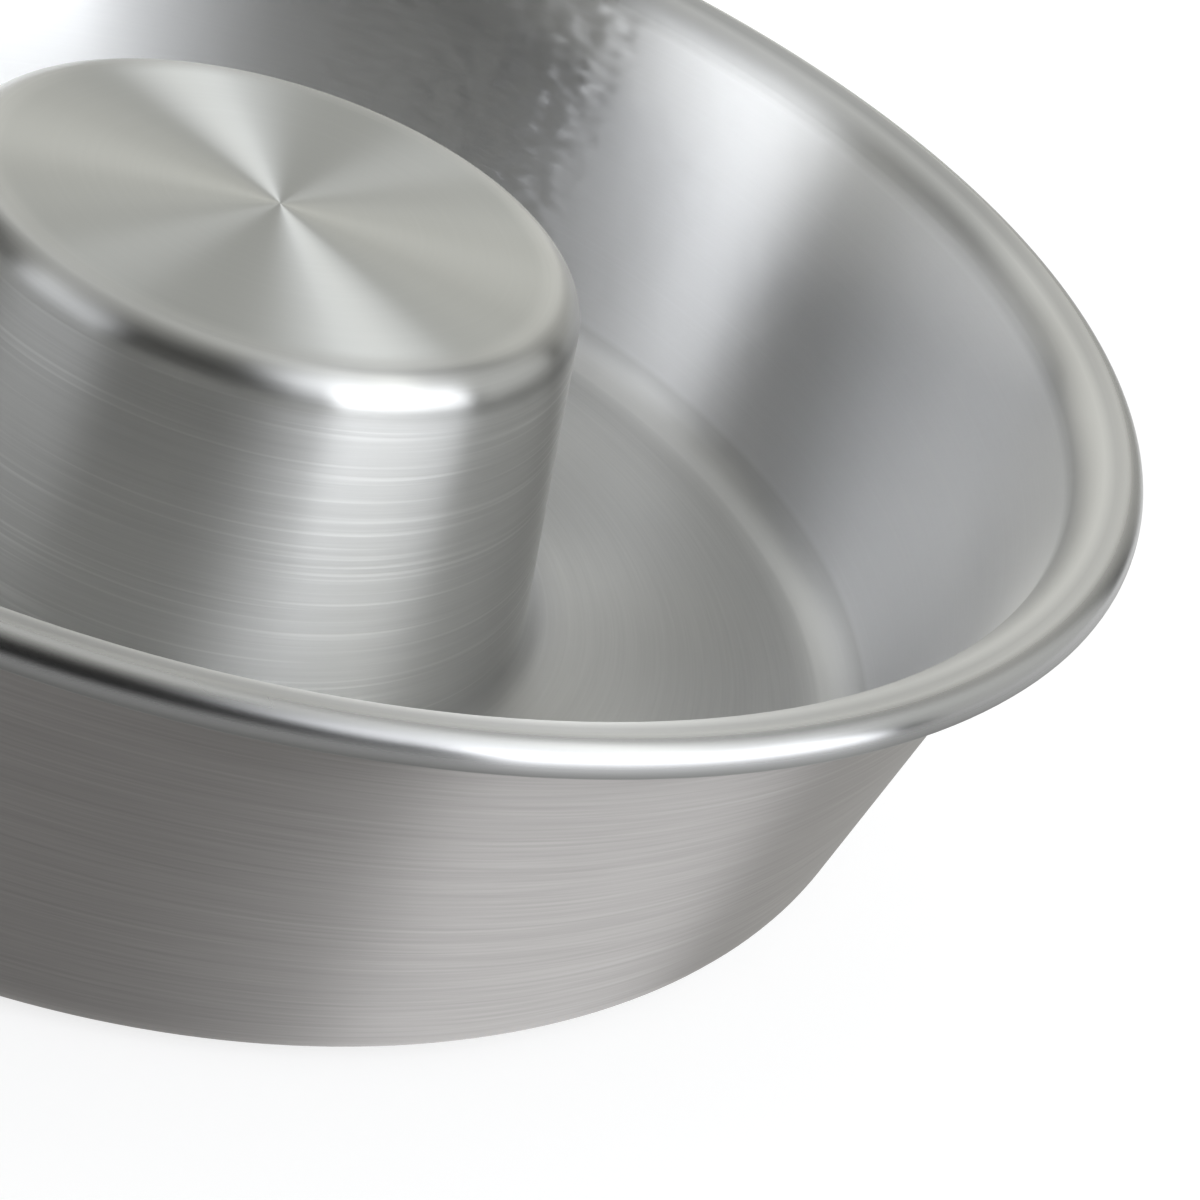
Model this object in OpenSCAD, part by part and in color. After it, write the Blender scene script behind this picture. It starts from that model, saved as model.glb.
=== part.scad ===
// Ring cake pan drawn and spun from one round sheet, standing on its base ring at z = 0.
// Millimetres, with the centre line of the pan on +Z.
// The sheet keeps one thickness from the middle of the tube top to the turned lip. Each module is one formed
// zone of it, and neighbouring zones meet face to face where a bend runs out into a straight stretch.

/* [Sheet] */
// Thickness of the sheet
sheet = 0.8; // [0.6:0.1:1.2]

/* [Outer wall] */
// Outside radius of the wall, carried down to the base plane
wall_base_radius = 86.7; // [84:0.1:88]
// Radius that the wall gains for each millimetre of height
wall_taper = 0.164; // [0.1:0.001:0.185]
// Outside radius of the bend between base and wall
corner_radius = 6; // [1.5:0.1:10]

/* [Lip] */
// Outside radius of the pan, over the lip
rim_radius = 101.6; // [100.6:0.1:104]
// Height of the pan, from the base to the top of the lip
rim_height = 53.4; // [48:0.1:60]
// Food-side radius of the bend that flares the wall out into the lip
lip_bend_radius = 5; // [3:0.1:6]
// Degrees that the lip rises on its way out from the wall
lip_slope = 21; // [5:1:28]
// Outside radius of the roll that turns the lip down
lip_roll_radius = 2.2; // [1.6:0.1:2.8]
// Degrees that the roll tucks in under itself past vertical
lip_tuck = 12; // [0:1:80]

/* [Centre tube] */
// Food-side radius of the tube, carried down to the base plane
tube_base_radius = 43.2; // [25:0.1:55]
// Radius that the tube loses for each millimetre of height
tube_taper = 0.157; // [0.05:0.001:0.25]
// Height of the tube, from the base to its flat top
tube_height = 45.7; // [25:0.1:60]
// Food-side radius of the bend at the foot of the tube
foot_radius = 4; // [1.5:0.1:8]
// Food-side radius of the bend round the tube's flat top
crown_radius = 4.6; // [1.5:0.1:10]

/* [Hidden] */
$fn = 180;

wall_lean = atan(wall_taper);
tube_lean = atan(tube_taper);

// Bend centres, each as [radius from the centre line, height].
corner_centre = [
    wall_base_radius + wall_taper * corner_radius - corner_radius / cos(wall_lean),
    corner_radius
];
roll_centre = [rim_radius - lip_roll_radius, rim_height - lip_roll_radius];
foot_centre = [
    tube_base_radius - tube_taper * (sheet + foot_radius) + foot_radius / cos(tube_lean),
    sheet + foot_radius
];
crown_centre = [
    tube_base_radius - tube_taper * (tube_height - crown_radius) - crown_radius / cos(tube_lean),
    tube_height - crown_radius
];

// The flare is tangent to the wall. A straight stretch at the lip's slope is tangent to both flare and roll.
// So the flare's centre lies on a line beside the wall, at a set distance below that stretch.
over_lip = 90 + lip_slope;
flare_line_start = wall_base_radius + (lip_bend_radius - sheet) / cos(wall_lean);
flare_reach = roll_centre * [cos(over_lip), sin(over_lip)] + lip_roll_radius - lip_bend_radius;
flare_gain = wall_taper * cos(over_lip) + sin(over_lip);
flare_height = (flare_reach - flare_line_start * cos(over_lip)) / flare_gain;
flare_centre = [flare_line_start + wall_taper * flare_height, flare_height];

// Length of the straight stretch, measured along the lip's slope between the two bend centres.
lip_run = (roll_centre - flare_centre) * [sin(over_lip), -cos(over_lip)];

// Directions from a bend's centre, square to the wall and to the tube.
out_of_wall = -wall_lean;
into_pan = 180 - wall_lean;
out_of_tube = tube_lean;
into_tube = 180 + tube_lean;

function at(centre, radius, direction) = centre + radius * [cos(direction), sin(direction)];

// Section of a bend from one direction to another: the sheet between the larger radius and a thickness less.
module bend(centre, larger_radius, from, to) {
    step = (to - from) / 6;
    reach = 2 * larger_radius;
    translate(centre)
        intersection() {
            difference() {
                circle(larger_radius);
                circle(larger_radius - sheet);
            }
            polygon([
                [0, 0],
                for (i = [0 : 6]) at([0, 0], reach, from + i * step)
            ]);
        }
}

// The two faces of the sheet at the end of a bend: the food side first, then the other side.
function faces(centre, food_radius, other_radius, direction) = [
    at(centre, food_radius, direction),
    at(centre, other_radius, direction)
];

// Section of a straight stretch between the ends of two bends.
module stretch(start, end) {
    polygon([start[0], start[1], end[1], end[0]]);
}

module rolled_edge() {
    color([0.72, 0.73, 0.72])
        rotate_extrude() {
            bend(roll_centre, lip_roll_radius, -lip_tuck, over_lip);
            translate(at(roll_centre, lip_roll_radius - sheet / 2, -lip_tuck))
                circle(sheet / 2);
        }
}

// The flare and the straight stretch are drawn in a frame turned to the slope, set at the flare centre.
module flared_lip() {
    color([0.70, 0.71, 0.69])
        rotate_extrude()
            translate(flare_centre)
                rotate(over_lip) {
                    bend([0, 0], lip_bend_radius, 0, into_pan - over_lip);
                    translate([lip_bend_radius - sheet, -lip_run])
                        square([sheet, lip_run]);
                }
}

module outer_wall() {
    color([0.62, 0.62, 0.62])
        rotate_extrude()
            stretch(
                faces(corner_centre, corner_radius - sheet, corner_radius, out_of_wall),
                faces(flare_centre, lip_bend_radius, lip_bend_radius - sheet, into_pan)
            );
}

module base_ring() {
    color([0.60, 0.61, 0.59])
        rotate_extrude() {
            bend(corner_centre, corner_radius, 270, 360 + out_of_wall);
            translate([foot_centre[0], 0])
                square([corner_centre[0] - foot_centre[0], sheet]);
            bend(foot_centre, foot_radius + sheet, into_tube, 270);
        }
}

module tube_wall() {
    color([0.58, 0.58, 0.57])
        rotate_extrude()
            stretch(
                faces(crown_centre, crown_radius, crown_radius - sheet, out_of_tube),
                faces(foot_centre, foot_radius, foot_radius + sheet, into_tube)
            );
}

module tube_top() {
    color([0.68, 0.68, 0.66])
        rotate_extrude() {
            bend(crown_centre, crown_radius, out_of_tube, 90);
            translate([0, tube_height - sheet])
                square([crown_centre[0], sheet]);
        }
}

rolled_edge();
flared_lip();
outer_wall();
base_ring();
tube_wall();
tube_top();
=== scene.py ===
import math

import bpy
from mathutils import Matrix, Vector


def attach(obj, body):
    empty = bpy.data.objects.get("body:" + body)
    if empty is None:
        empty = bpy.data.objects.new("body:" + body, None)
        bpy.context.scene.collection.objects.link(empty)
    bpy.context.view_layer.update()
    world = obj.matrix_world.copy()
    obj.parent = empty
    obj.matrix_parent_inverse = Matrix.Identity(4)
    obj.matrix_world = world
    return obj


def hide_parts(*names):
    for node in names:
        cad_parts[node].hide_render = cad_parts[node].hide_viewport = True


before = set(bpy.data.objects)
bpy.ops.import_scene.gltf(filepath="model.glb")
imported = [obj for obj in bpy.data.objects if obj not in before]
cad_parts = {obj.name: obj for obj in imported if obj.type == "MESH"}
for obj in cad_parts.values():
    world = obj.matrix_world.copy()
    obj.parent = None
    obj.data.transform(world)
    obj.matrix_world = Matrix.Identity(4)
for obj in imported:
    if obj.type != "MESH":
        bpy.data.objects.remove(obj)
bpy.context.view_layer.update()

MM = 0.001

# The pan's section, in millimetres and degrees, with the same names and values as the part's source.
SHEET = 0.8
WALL_BASE_RADIUS = 86.7
WALL_TAPER = 0.164
CORNER_RADIUS = 6.0
RIM_RADIUS = 101.6
RIM_HEIGHT = 53.4
LIP_BEND_RADIUS = 5.0
LIP_SLOPE = 21.0
LIP_ROLL_RADIUS = 2.2
LIP_TUCK = 12.0
TUBE_BASE_RADIUS = 43.2
TUBE_TAPER = 0.157
TUBE_HEIGHT = 45.7
FOOT_RADIUS = 4.0
CROWN_RADIUS = 4.6

# Steps in which the section is turned round the centre line.
TURN_STEPS = 256
# The sheet's spinning ridges: their height in metres, the cells of noise that make them in each metre round
# the pan and across the lines, and the finer levels of that noise.
RIDGE_HEIGHT = 0.00003
RIDGES_ROUND = 6.0
RIDGES_ACROSS = 420.0
RIDGE_DETAIL = 2.0
# Points of the turned sheet that lie closer together than this, in metres, are joined.
JOIN_WITHIN = 1e-7

# The camera, fitted to the outlines of the pan: its distance in radii of the pan over its lip, its height in
# degrees, how far it turns away from the base's centre, in radians, its lens in millimetres, and the nearest
# that it sees, in metres.
CAMERA_DISTANCE = 3.0204
CAMERA_ELEVATION = 33.86
CAMERA_TURN = (0.0051, -0.1680, 0.2793)
CAMERA_LENS = 74.5
CAMERA_NEAREST = 0.01

# How each zone of the sheet is finished and painted: how rough the metal is, how deep the lines are and how
# clear the tool's marks, how much the hair lines change the tone, how deep the dimples are, and the red,
# green and blue of the metal with painted light and shade in it: lighter where the zone shows bright
# reflections, darker where it lies in shade.
FINISH_AND_PAINTED_LIGHT_NAMES = ("roughness", "line_depth", "line_tone", "dimple_depth", "red", "green", "blue")
FINISHES_AND_PAINTED_LIGHT = {
    "tube_top": (0.42, 0.05, 0.2, 0.0, 0.585, 0.59, 0.58),
    "crown": (0.29, 0.2, 0.6, 0.0, 0.535, 0.535, 0.53),
    "tube_side": (0.42, 1.0, 0.9, 0.0, 0.645, 0.645, 0.64),
    "foot": (0.40, 0.3, 0.4, 0.0, 0.59, 0.59, 0.59),
    "cake_floor": (0.42, 0.05, 0.8, 0.05, 0.66, 0.66, 0.655),
    # The corner and the cake wall are painted lighter: painted light from the reflections they show.
    "corner": (0.40, 0.1, 0.2, 0.2, 0.86, 0.86, 0.855),
    "cake_wall": (0.38, 0.1, 0.2, 1.0, 0.975, 0.975, 0.98),
    "flare": (0.35, 0.1, 0.1, 0.1, 0.67, 0.67, 0.67),
    "slope": (0.34, 0.1, 0.1, 0.1, 0.50, 0.50, 0.505),
    "roll_top": (0.27, 0.2, 0.1, 0.15, 0.49, 0.49, 0.49),
    # The roll's side and its underside are painted darker: painted shade.
    "roll_side": (0.20, 0.2, 0.1, 0.15, 0.34, 0.34, 0.34),
    "roll_under": (0.40, 0.2, 0.1, 0.1, 0.18, 0.18, 0.175),
    # The outer wall, the base's edge and the parts underneath are painted dark and warm: painted shade and a
    # painted reflection of the shaded floor.
    "outer_wall": (0.50, 0.3, 2.2, 0.05, 0.325, 0.312, 0.302),
    "base_edge": (0.50, 0.1, 1.5, 0.05, 0.325, 0.312, 0.302),
    "underneath": (0.42, 0.2, 0.6, 0.1, 0.36, 0.35, 0.34),
}
# Directions from the roll's centre, in degrees above level, at which its finish changes on the way down;
# below each the roll is painted darker, as painted shade.
ROLL_SIDE_FROM = 46.0
ROLL_UNDER_FROM = 12.0
# Two neighbouring zones run together over this distance along the sheet, in metres.
ZONE_BLEND = 0.0008

# The noise of the metal's marks: its cells per metre round the pan and across the spinning lines, and its
# finer levels.
HAIR_LINES = (45.0, 2400.0, 3.0)
TOOL_MARKS = (24.0, 2000.0, 0.0)
DIMPLES = (260.0, 620.0, 0.0)
# How much is kept of each finer level of the noise that is drawn out along the spinning lines.
LINE_ROUGHNESS = 0.6
# How high the noise of the tool's marks runs before a mark shows.
TOOL_MARK_GAP = 0.08
# Heights of the marks, in metres.
HAIR_LINE_HEIGHT = 0.000012
TOOL_MARK_HEIGHT = 0.00005
DIMPLE_HEIGHT = 0.0002
# How much the marks change the tone of the metal.
HAIR_LINE_TONE = 0.2
TOOL_MARK_TONE = 0.7
# The side of the pan that is dimpled most: its direction, the cosines of the angles from it between which the
# dimples fade, and what is left of them elsewhere.
DIMPLED_SIDE = (0.21, 0.978, 0.0)
DIMPLED_COSINES = (0.966, 0.982)
DIMPLES_ELSEWHERE = 0.08
# Faint clouds over all of the metal: how fine they are, and what they do to tone and roughness.
CLOUD_SCALE = 28.0
CLOUD_DETAIL = 3.0
CLOUD_TONE = 0.1
CLOUD_ROUGHNESS = 0.05
# Reflections are drawn out in full, a quarter turn from the way the sheet was spun: across the lines.
DRAWN_OUT = 1.0
ACROSS_LINES = 0.25

# The floor: half its size and its drop below the base, in metres, its grey, and how much it adds to its own
# lit colour where the camera or the metal sees it.
FLOOR_HALF = 3.0
FLOOR_DROP = 0.00002
FLOOR_GREY = 0.4
FLOOR_GLOW = 0.70

# Brightness of the room between the lights.
ROOM_LIGHT = 0.01
# Tints of the lights, as red, green and blue.
COOL = (0.975, 1.0, 1.035)
PLAIN = (0.985, 1.0, 0.97)
WARM = (1.0, 1.0, 0.94)
# The studio's soft lights, far round the pan: degrees round from straight behind it towards the right,
# degrees above the floor, half the width, height and soft edge in degrees, brightness and tint.
SOFT_LIGHTS = {
    "right_softbox": (118, 9, 24, 33, 3, 3.7, COOL),
    "right_upper": (139, 52, 12, 19, 8, 2.3, COOL),
    "left_tall": (244, 15, 18, 30, 6, 1.2, COOL),
    "left_low": (262, 2, 56, 7, 2, 2.2, WARM),
    "backdrop": (-9, 24, 24, 19, 5, 0.85, WARM),
    "backdrop_right": (23, 14, 20, 25, 6, 0.45, WARM),
    "overhead": (38, 72, 50, 6, 11, 1.6, PLAIN),
    "right_edge": (70, 31, 19, 34, 4, 0.85, PLAIN),
    "back_left": (278, 66, 17, 30, 7, 0.45, WARM),
}


def wall_lean():
    """Degrees that the outer wall leans out of upright."""
    return math.degrees(math.atan(WALL_TAPER))


def tube_lean():
    """Degrees that the tube's wall leans out of upright."""
    return math.degrees(math.atan(TUBE_TAPER))


def toward(centre, radius, direction):
    """The point at that distance from a bend's centre, in a direction in degrees."""
    angle = math.radians(direction)
    return (centre[0] + radius * math.cos(angle), centre[1] + radius * math.sin(angle))


def bend_centres():
    """Centres of the corner, flare, roll, foot and crown bends, each as (distance from the axis, height)."""
    wall_slant = 1 / math.cos(math.radians(wall_lean()))
    tube_slant = 1 / math.cos(math.radians(tube_lean()))
    corner_reach = WALL_BASE_RADIUS + WALL_TAPER * CORNER_RADIUS
    corner = (corner_reach - CORNER_RADIUS * wall_slant, CORNER_RADIUS)
    roll = (RIM_RADIUS - LIP_ROLL_RADIUS, RIM_HEIGHT - LIP_ROLL_RADIUS)
    foot_height = SHEET + FOOT_RADIUS
    foot = (TUBE_BASE_RADIUS - TUBE_TAPER * foot_height + FOOT_RADIUS * tube_slant, foot_height)
    crown_height = TUBE_HEIGHT - CROWN_RADIUS
    crown = (TUBE_BASE_RADIUS - TUBE_TAPER * crown_height - CROWN_RADIUS * tube_slant, crown_height)
    # The flare is tangent to the wall, and the lip's slope is tangent to both flare and roll.
    start = WALL_BASE_RADIUS + (LIP_BEND_RADIUS - SHEET) * wall_slant
    across, up = toward((0, 0), 1, 90 + LIP_SLOPE)
    reach = roll[0] * across + roll[1] * up + LIP_ROLL_RADIUS - LIP_BEND_RADIUS
    height = (reach - start * across) / (WALL_TAPER * across + up)
    flare = (start + WALL_TAPER * height, height)
    return corner, flare, roll, foot, crown


class SheetRun:
    """Points along the faces of the sheet, each with the zone of the pan that it lies in."""

    def __init__(self, start):
        self.points = [start]
        self.zones = []
        self.straight_ahead = None

    def straight(self, zone, steps):
        """A straight stretch, which ends where the next bend starts."""
        self.straight_ahead = (zone, steps)
        if not self.zones:
            self.zones.append(zone)

    def reach(self, end):
        """Lays the straight stretch that is due, up to its end."""
        zone, steps = self.straight_ahead
        x, z = self.points[-1]
        for i in range(1, steps + 1):
            self.points.append((x + (end[0] - x) * i / steps, z + (end[1] - z) * i / steps))
            self.zones.append(zone)
        self.straight_ahead = None

    def bend(self, zone, centre, radius, start, end, steps):
        """A bend from one direction to another, in degrees, after any straight stretch that leads to it."""
        if self.straight_ahead:
            self.reach(toward(centre, radius, start))
        for i in range(1, steps + 1):
            self.points.append(toward(centre, radius, start + (end - start) * i / steps))
            self.zones.append(zone)


def pan_section():
    """The sheet's section, from the middle of the tube's top over the food side to the lip and back below."""
    corner, flare, roll, foot, crown = bend_centres()
    out_of_wall = 360 - wall_lean()
    into_pan = 180 - wall_lean()
    out_of_tube = tube_lean()
    into_tube = 180 + tube_lean()
    over_lip = 90 + LIP_SLOPE
    cut_edge = toward(roll, LIP_ROLL_RADIUS - SHEET / 2, -LIP_TUCK)
    run = SheetRun((0, TUBE_HEIGHT))
    run.straight("tube_top", 18)
    run.bend("crown", crown, CROWN_RADIUS, 90, out_of_tube, 10)
    run.straight("tube_side", 90)
    run.bend("foot", foot, FOOT_RADIUS, into_tube, 270, 8)
    run.straight("cake_floor", 14)
    run.bend("corner", corner, CORNER_RADIUS - SHEET, 270, out_of_wall, 14)
    run.straight("cake_wall", 44)
    run.bend("flare", flare, LIP_BEND_RADIUS, into_pan, over_lip, 12)
    run.straight("slope", 4)
    run.bend("roll_top", roll, LIP_ROLL_RADIUS, over_lip, ROLL_SIDE_FROM, 8)
    run.bend("roll_side", roll, LIP_ROLL_RADIUS, ROLL_SIDE_FROM, ROLL_UNDER_FROM, 5)
    run.bend("roll_under", roll, LIP_ROLL_RADIUS, ROLL_UNDER_FROM, -LIP_TUCK, 4)
    run.bend("roll_under", cut_edge, SHEET / 2, -LIP_TUCK, -LIP_TUCK - 180, 6)
    run.bend("underneath", roll, LIP_ROLL_RADIUS - SHEET, -LIP_TUCK, over_lip, 8)
    run.straight("underneath", 2)
    run.bend("underneath", flare, LIP_BEND_RADIUS - SHEET, over_lip, into_pan, 8)
    run.straight("outer_wall", 64)
    run.bend("base_edge", corner, CORNER_RADIUS, out_of_wall, 270, 12)
    run.straight("underneath", 6)
    run.bend("underneath", foot, FOOT_RADIUS + SHEET, 270, into_tube, 6)
    run.straight("underneath", 6)
    run.bend("underneath", crown, CROWN_RADIUS - SHEET, out_of_tube, 90, 6)
    run.straight("underneath", 4)
    run.reach((0, TUBE_HEIGHT - SHEET))
    return run


def softened(values, runs, reach):
    """Each value averaged with those within reach of it along the sheet, so that zones run together."""
    soft = []
    for here in runs:
        near = [value for value, there in zip(values, runs) if abs(there - here) <= reach]
        soft.append(sum(near) / len(near))
    return soft


def section_mesh():
    """The section as edges in the XZ plane. Each point keeps its finish, with its painted light and shade,
    and its distance along the sheet.
    """
    run = pan_section()
    points = [(r * MM, z * MM) for r, z in run.points]
    runs = [0.0]
    for before, after in zip(points, points[1:]):
        runs.append(runs[-1] + math.dist(before, after))
    edges = [(i, i + 1) for i in range(len(points) - 1)]
    mesh = bpy.data.meshes.new("pan_section")
    mesh.from_pydata([(r, 0, z) for r, z in points], edges, [])
    kept = {"along_sheet": runs}
    for column, name in enumerate(FINISH_AND_PAINTED_LIGHT_NAMES):
        kept[name] = softened([FINISHES_AND_PAINTED_LIGHT[zone][column] for zone in run.zones], runs, ZONE_BLEND)
    for name, values in kept.items():
        attribute = mesh.attributes.new(name, "FLOAT", "POINT")
        attribute.data.foreach_set("value", values)
    section = bpy.data.objects.new("pan_section", mesh)
    bpy.context.scene.collection.objects.link(section)
    return section, len(points)


class Tree:
    """Adds nodes to a node tree and links them as they are made."""

    def __init__(self, tree):
        self.tree = tree

    def add(self, kind, settings=None, **inputs):
        """A node with its settings and inputs. The inputs i0 and i1 are its first and second by place."""
        node = self.tree.nodes.new(kind)
        for name, value in (settings or {}).items():
            setattr(node, name, value)
        for name, value in inputs.items():
            key = int(name[1:]) if name[0] == "i" and name[1:].isdigit() else name.replace("_", " ")
            self.put(node.inputs[key], value)
        return node

    def put(self, socket, value):
        """Links a socket to another, or gives it a constant."""
        if isinstance(value, bpy.types.NodeSocket):
            self.tree.links.new(value, socket)
        else:
            socket.default_value = value

    def maths(self, operation, *values):
        node = self.tree.nodes.new("ShaderNodeMath")
        node.operation = operation
        for socket, value in zip(node.inputs, values):
            self.put(socket, value)
        return node.outputs[0]

    def vector(self, operation, *values):
        node = self.tree.nodes.new("ShaderNodeVectorMath")
        node.operation = operation
        for socket, value in zip([socket for socket in node.inputs if socket.enabled], values):
            self.put(socket, value)
        return node.outputs["Value" if operation == "DOT_PRODUCT" else "Vector"]

    def combine(self, x, y, z):
        return self.add("ShaderNodeCombineXYZ", X=x, Y=y, Z=z).outputs[0]

    def noise(self, place, scale, detail, roughness=0.5):
        """Noise from -0.5 to 0.5."""
        node = self.add("ShaderNodeTexNoise", Vector=place, Scale=scale, Detail=detail, Roughness=roughness)
        return self.maths("SUBTRACT", node.outputs[0], 0.5)

    def spun_noise(self, here, along, round_scale, across_scale, detail):
        """Noise that is drawn out along the spinning lines, with its own cells per metre round and across."""
        x, y = (self.maths("MULTIPLY", here.outputs[axis], round_scale) for axis in ("X", "Y"))
        place = self.combine(x, y, self.maths("MULTIPLY", along, across_scale))
        return self.noise(place, 1.0, detail, LINE_ROUGHNESS)

    def attribute(self, name):
        """A number kept on the section's points, in Geometry Nodes."""
        return self.add("GeometryNodeInputNamedAttribute", {"data_type": "FLOAT"}, Name=name).outputs[0]


def turned_sheet_tree(section_points):
    """Geometry nodes that turn a section round the centre line, into a sheet with fine spinning ridges."""
    group = bpy.data.node_groups.new("turned_sheet", "GeometryNodeTree")
    named_inputs = {
        "Geometry": "NodeSocketGeometry",
        "Section": "NodeSocketObject",
        "Turn steps": "NodeSocketInt",
        "Ridge height": "NodeSocketFloat",
        "Ridges round": "NodeSocketFloat",
        "Ridges across": "NodeSocketFloat",
        "Material": "NodeSocketMaterial",
    }
    for name, kind in named_inputs.items():
        group.interface.new_socket(name, in_out="INPUT", socket_type=kind)
    group.interface.new_socket("Geometry", in_out="OUTPUT", socket_type="NodeSocketGeometry")
    t = Tree(group)
    given = t.add("NodeGroupInput")
    section = t.add("GeometryNodeObjectInfo", Object=given.outputs["Section"]).outputs["Geometry"]

    columns = t.maths("ADD", given.outputs["Turn steps"], 1)
    grid = t.add(
        "GeometryNodeMeshGrid", Size_X=1.0, Size_Y=1.0, Vertices_X=columns, Vertices_Y=section_points
    )
    place = t.add("ShaderNodeSeparateXYZ", Vector=t.add("GeometryNodeInputPosition").outputs[0])
    turn = t.maths("MULTIPLY", t.maths("ADD", place.outputs["X"], 0.5), 2 * math.pi)
    up_the_grid = t.maths("ADD", place.outputs["Y"], 0.5)
    row = t.maths("ROUND", t.maths("MULTIPLY", up_the_grid, section_points - 1))

    def from_section(kind, value):
        """A value of the section's point that stands for this row of the grid."""
        sample = t.add(
            "GeometryNodeSampleIndex", {"data_type": kind}, Geometry=section, Value=value, Index=row
        )
        return sample.outputs["Value"]

    section_place = from_section("FLOAT_VECTOR", t.add("GeometryNodeInputPosition").outputs[0])
    spot = t.add("ShaderNodeSeparateXYZ", Vector=section_place)
    x, y = (t.maths("MULTIPLY", spot.outputs["X"], t.maths(side, turn)) for side in ("COSINE", "SINE"))
    kept = grid.outputs["Mesh"]
    for name in ("along_sheet",) + FINISH_AND_PAINTED_LIGHT_NAMES:
        kept = t.add(
            "GeometryNodeStoreNamedAttribute",
            {"data_type": "FLOAT", "domain": "POINT"},
            Geometry=kept,
            Name=name,
            Value=from_section("FLOAT", t.attribute(name)),
        ).outputs[0]
    round_place = t.combine(x, y, spot.outputs["Z"])
    turned = t.add("GeometryNodeSetPosition", Geometry=kept, Position=round_place).outputs[0]
    closed = t.add("GeometryNodeMergeByDistance", Geometry=turned, Distance=JOIN_WITHIN).outputs[0]

    here = t.add("ShaderNodeSeparateXYZ", Vector=t.add("GeometryNodeInputPosition").outputs[0])
    along = t.attribute("along_sheet")
    scales = (given.outputs["Ridges round"], given.outputs["Ridges across"])
    ridges = t.spun_noise(here, along, *scales, RIDGE_DETAIL)
    height_here = t.maths("MULTIPLY", t.attribute("line_depth"), given.outputs["Ridge height"])
    lift = t.maths("MULTIPLY", ridges, height_here)
    normal = t.add("GeometryNodeInputNormal").outputs[0]
    offset = t.add("ShaderNodeVectorMath", {"operation": "SCALE"}, Vector=normal, Scale=lift).outputs[0]
    ridged = t.add("GeometryNodeSetPosition", Geometry=closed, Offset=offset).outputs[0]

    smooth = t.add("GeometryNodeSetShadeSmooth", Geometry=ridged).outputs[0]
    real = t.add("GeometryNodeRealizeInstances", Geometry=smooth).outputs[0]
    finished = t.add(
        "GeometryNodeSetMaterial", Geometry=real, Material=given.outputs["Material"]
    ).outputs[0]
    t.add("NodeGroupOutput", Geometry=finished)
    return group


def set_inputs(modifier, **values):
    """Sets a modifier's inputs by the names they have in its tree."""
    for item in modifier.node_group.interface.items_tree:
        key = item.name.replace(" ", "_").lower()
        if item.in_out == "INPUT" and key in values:
            modifier[item.identifier] = values[key]


def plain_mesh(worker, name, material):
    """The evaluated shape of an object as a new object with no modifiers; the worker is removed."""
    depsgraph = bpy.context.evaluated_depsgraph_get()
    mesh = bpy.data.meshes.new_from_object(worker.evaluated_get(depsgraph), depsgraph=depsgraph)
    mesh.name = name
    mesh.materials.clear()
    mesh.materials.append(material)
    result = bpy.data.objects.new(name, mesh)
    bpy.context.scene.collection.objects.link(result)
    bpy.data.objects.remove(worker)
    return result


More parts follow.
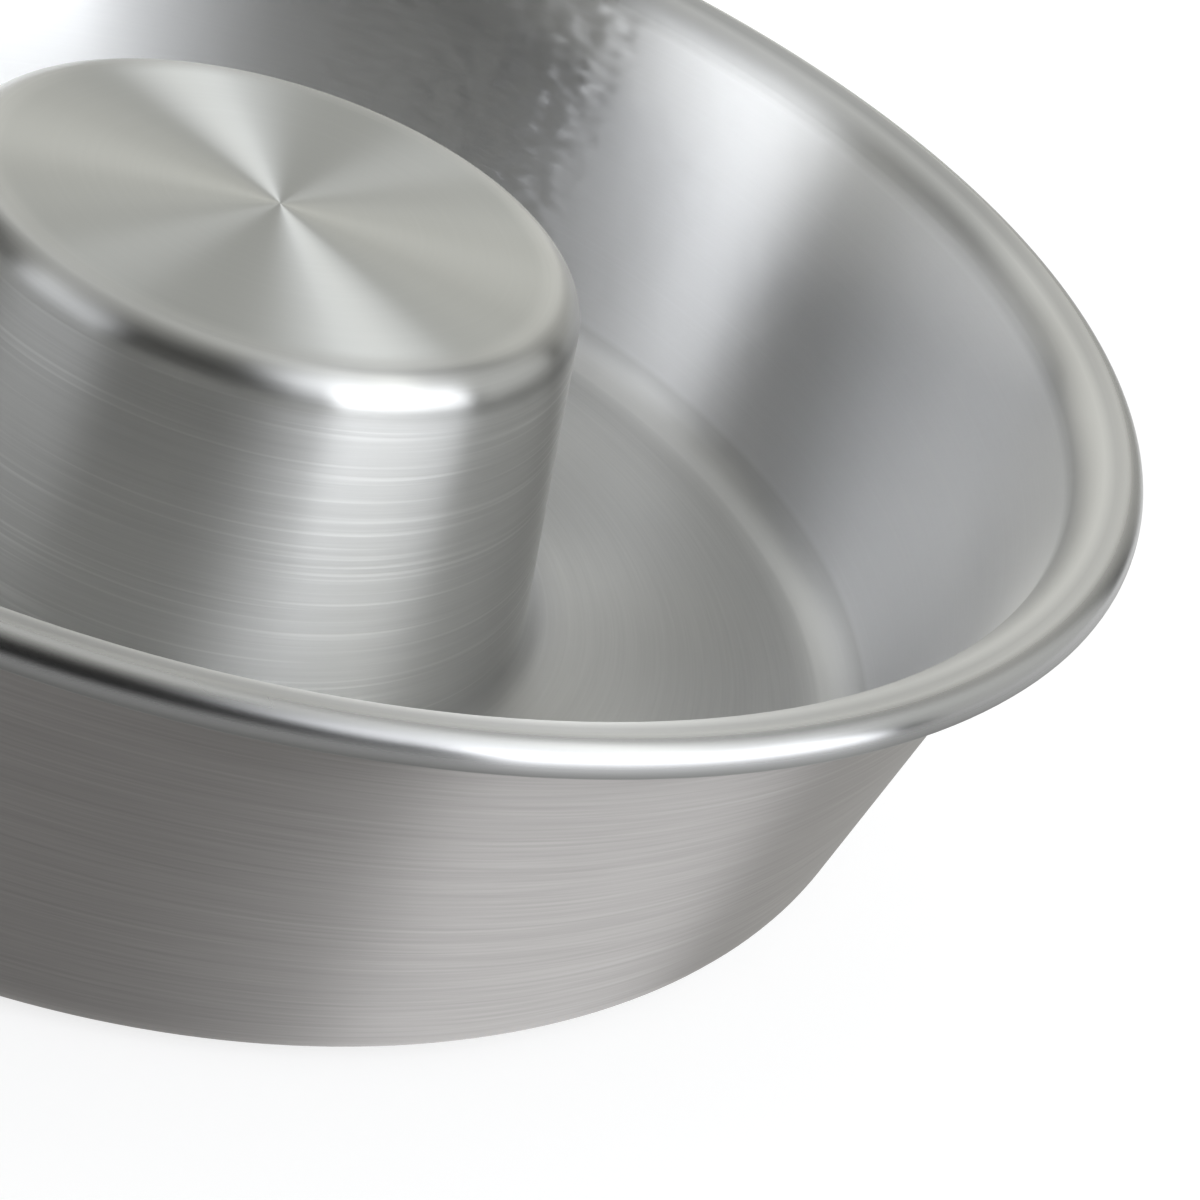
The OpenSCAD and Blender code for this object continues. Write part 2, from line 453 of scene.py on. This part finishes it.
def satin_aluminium():
    """Bare aluminium, spun on a lathe: fine lines round the centre line, tool marks and dimples, and painted
    light and shade in each zone's colour.
    """
    material = bpy.data.materials.new("satin_aluminium")
    material.use_nodes = True
    material.node_tree.nodes.clear()
    t = Tree(material.node_tree)
    place = t.add("ShaderNodeTexCoord").outputs["Object"]
    here = t.add("ShaderNodeSeparateXYZ", Vector=place)

    def on_sheet(name):
        """A number kept on the sheet's points."""
        return t.add("ShaderNodeAttribute", {"attribute_name": name}).outputs["Fac"]

    def product(*factors):
        total = factors[0]
        for factor in factors[1:]:
            total = t.maths("MULTIPLY", total, factor)
        return total

    finish_and_painted_light = {name: on_sheet(name) for name in FINISH_AND_PAINTED_LIGHT_NAMES}
    along = on_sheet("along_sheet")

    hair_lines = t.spun_noise(here, along, *HAIR_LINES)
    tool_noise = t.spun_noise(here, along, *TOOL_MARKS)
    tool_marks = t.maths("MAXIMUM", t.maths("SUBTRACT", tool_noise, TOOL_MARK_GAP), 0.0)
    clouds = t.noise(place, CLOUD_SCALE, CLOUD_DETAIL)
    outward = t.vector("NORMALIZE", t.combine(here.outputs["X"], here.outputs["Y"], 0))
    dimpled = t.add(
        "ShaderNodeMapRange",
        Value=t.vector("DOT_PRODUCT", outward, DIMPLED_SIDE),
        From_Min=DIMPLED_COSINES[0],
        From_Max=DIMPLED_COSINES[1],
        To_Min=DIMPLES_ELSEWHERE,
        To_Max=1.0,
    ).outputs[0]

    lines = t.maths("MULTIPLY_ADD", hair_lines, HAIR_LINE_HEIGHT, product(tool_marks, TOOL_MARK_HEIGHT))
    dimple_noise = t.spun_noise(here, along, *DIMPLES)
    dimples = product(dimple_noise, finish_and_painted_light["dimple_depth"], dimpled, DIMPLE_HEIGHT)
    relief = t.maths("MULTIPLY_ADD", finish_and_painted_light["line_depth"], lines, dimples)
    bump = t.add("ShaderNodeBump", Strength=1.0, Distance=1.0, Height=relief)

    hair_tone = product(hair_lines, HAIR_LINE_TONE, finish_and_painted_light["line_tone"])
    mark_tone = product(tool_marks, TOOL_MARK_TONE, finish_and_painted_light["line_depth"])
    marked = t.maths("ADD", 1.0, t.maths("ADD", hair_tone, mark_tone))
    shade = t.maths("MULTIPLY_ADD", clouds, CLOUD_TONE, marked)
    # Each zone's red, green and blue hold painted light and shade; the marks and clouds vary the tone at
    # random.
    metal = t.add(
        "ShaderNodeBsdfPrincipled",
        Base_Color=t.vector("SCALE", t.combine(finish_and_painted_light["red"], finish_and_painted_light["green"], finish_and_painted_light["blue"]), shade),
        Metallic=1.0,
        Roughness=t.maths("MULTIPLY_ADD", clouds, CLOUD_ROUGHNESS, finish_and_painted_light["roughness"]),
        Anisotropic=DRAWN_OUT,
        Anisotropic_Rotation=ACROSS_LINES,
        Tangent=t.add("ShaderNodeTangent", {"direction_type": "RADIAL", "axis": "Z"}).outputs[0],
        Normal=bump.outputs[0],
    )
    t.add("ShaderNodeOutputMaterial", Surface=metal.outputs[0])
    return material


def make_pan(material):
    """The whole pan as one sheet, standing for every formed zone of the CAD model."""
    section, section_points = section_mesh()
    worker = bpy.data.objects.new("pan_worker", bpy.data.meshes.new("pan_worker"))
    bpy.context.scene.collection.objects.link(worker)
    modifier = worker.modifiers.new("turned_sheet", "NODES")
    modifier.node_group = turned_sheet_tree(section_points)
    set_inputs(
        modifier,
        section=section,
        turn_steps=TURN_STEPS,
        ridge_height=RIDGE_HEIGHT,
        ridges_round=RIDGES_ROUND,
        ridges_across=RIDGES_ACROSS,
        material=material,
    )
    pan = plain_mesh(worker, "pan_sheet", material)
    bpy.data.objects.remove(section)
    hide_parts("rolled_edge", "flared_lip", "outer_wall", "base_ring", "tube_wall", "tube_top")
    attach(pan, "root")


def add_camera():
    """The photograph's camera: raised on the -Y side, looking at the base's centre, then turned away."""
    elevation = math.radians(CAMERA_ELEVATION)
    place = Vector((0, -math.cos(elevation), math.sin(elevation))) * CAMERA_DISTANCE
    forward = -place.normalized()
    right = Vector((1, 0, 0))
    up = right.cross(forward)
    turn = Vector(CAMERA_TURN)
    axes = Matrix.Rotation(turn.length, 3, turn.normalized()) @ Matrix((right, -up, forward))
    pose = Matrix((axes[0], -axes[1], -axes[2])).transposed().to_4x4()
    pose.translation = place * RIM_RADIUS * MM
    data = bpy.data.cameras.new("camera")
    data.lens = CAMERA_LENS
    data.clip_start = CAMERA_NEAREST
    camera = bpy.data.objects.new("camera", data)
    camera.matrix_world = pose
    bpy.context.scene.collection.objects.link(camera)
    bpy.context.scene.camera = camera


def pale_floor():
    """A pale floor that keeps the pan's shadow and is near white to the camera and the metal alike."""
    material = bpy.data.materials.new("pale_floor")
    material.use_nodes = True
    material.node_tree.nodes.clear()
    t = Tree(material.node_tree)
    rays = t.add("ShaderNodeLightPath")
    seen = t.maths("MAXIMUM", rays.outputs["Is Camera Ray"], rays.outputs["Is Glossy Ray"])
    seen = t.maths("MAXIMUM", seen, rays.outputs["Is Transmission Ray"])
    white = t.add("ShaderNodeEmission", Color=(1, 1, 1, 1), Strength=t.maths("MULTIPLY", seen, FLOOR_GLOW))
    matt = t.add("ShaderNodeBsdfDiffuse", Color=(FLOOR_GREY, FLOOR_GREY, FLOOR_GREY, 1))
    both = t.add("ShaderNodeAddShader", i0=white.outputs[0], i1=matt.outputs[0])
    t.add("ShaderNodeOutputMaterial", Surface=both.outputs[0])
    corners = [(x * FLOOR_HALF, y * FLOOR_HALF, 0) for x, y in ((-1, -1), (1, -1), (1, 1), (-1, 1))]
    mesh = bpy.data.meshes.new("floor")
    mesh.from_pydata(corners, [], [(0, 1, 2, 3)])
    mesh.materials.append(material)
    floor = bpy.data.objects.new("floor", mesh)
    floor.location.z = -FLOOR_DROP
    bpy.context.scene.collection.objects.link(floor)


def soft_light(t, direction, azimuth, elevation, half_width, half_height, edge):
    """How much one soft rectangular light, far away, shows in each direction from the pan, from 0 to 1."""
    turn, rise = math.radians(azimuth), math.radians(elevation)
    facing = (math.cos(rise) * math.sin(turn), math.cos(rise) * math.cos(turn), math.sin(rise))
    sideways = (math.cos(turn), -math.sin(turn), 0)
    upward = (-math.sin(rise) * math.sin(turn), -math.sin(rise) * math.cos(turn), math.cos(rise))
    ahead = t.vector("DOT_PRODUCT", direction, facing)
    glow = t.maths("GREATER_THAN", ahead, 0)
    for axis, half_size in ((sideways, half_width), (upward, half_height)):
        off = t.maths("ABSOLUTE", t.maths("DIVIDE", t.vector("DOT_PRODUCT", direction, axis), ahead))
        inner, outer = (math.tan(math.radians(max(half_size + side * edge, 0))) for side in (-1, 1))
        inside = t.add(
            "ShaderNodeMapRange",
            {"interpolation_type": "SMOOTHSTEP"},
            Value=off,
            From_Min=inner,
            From_Max=outer,
            To_Min=1,
            To_Max=0,
        ).outputs[0]
        glow = t.maths("MULTIPLY", glow, inside)
    return glow


def studio_world():
    """Plain soft studio light: a dim room with a few large soft lights in it."""
    world = bpy.data.worlds.new("studio")
    bpy.context.scene.world = world
    world.use_nodes = True
    world.node_tree.nodes.clear()
    t = Tree(world.node_tree)
    direction = t.add("ShaderNodeTexCoord").outputs["Generated"]
    light = (ROOM_LIGHT, ROOM_LIGHT, ROOM_LIGHT)
    for *shape, strength, tint in SOFT_LIGHTS.values():
        glow = t.maths("MULTIPLY", soft_light(t, direction, *shape), strength)
        light = t.vector("ADD", light, t.vector("SCALE", tint, glow))
    background = t.add("ShaderNodeBackground", Color=light, Strength=1.0)
    t.add("ShaderNodeOutputWorld", Surface=background.outputs[0])


add_camera()
make_pan(satin_aluminium())
pale_floor()
studio_world()
bpy.context.scene.view_settings.view_transform = "Standard"
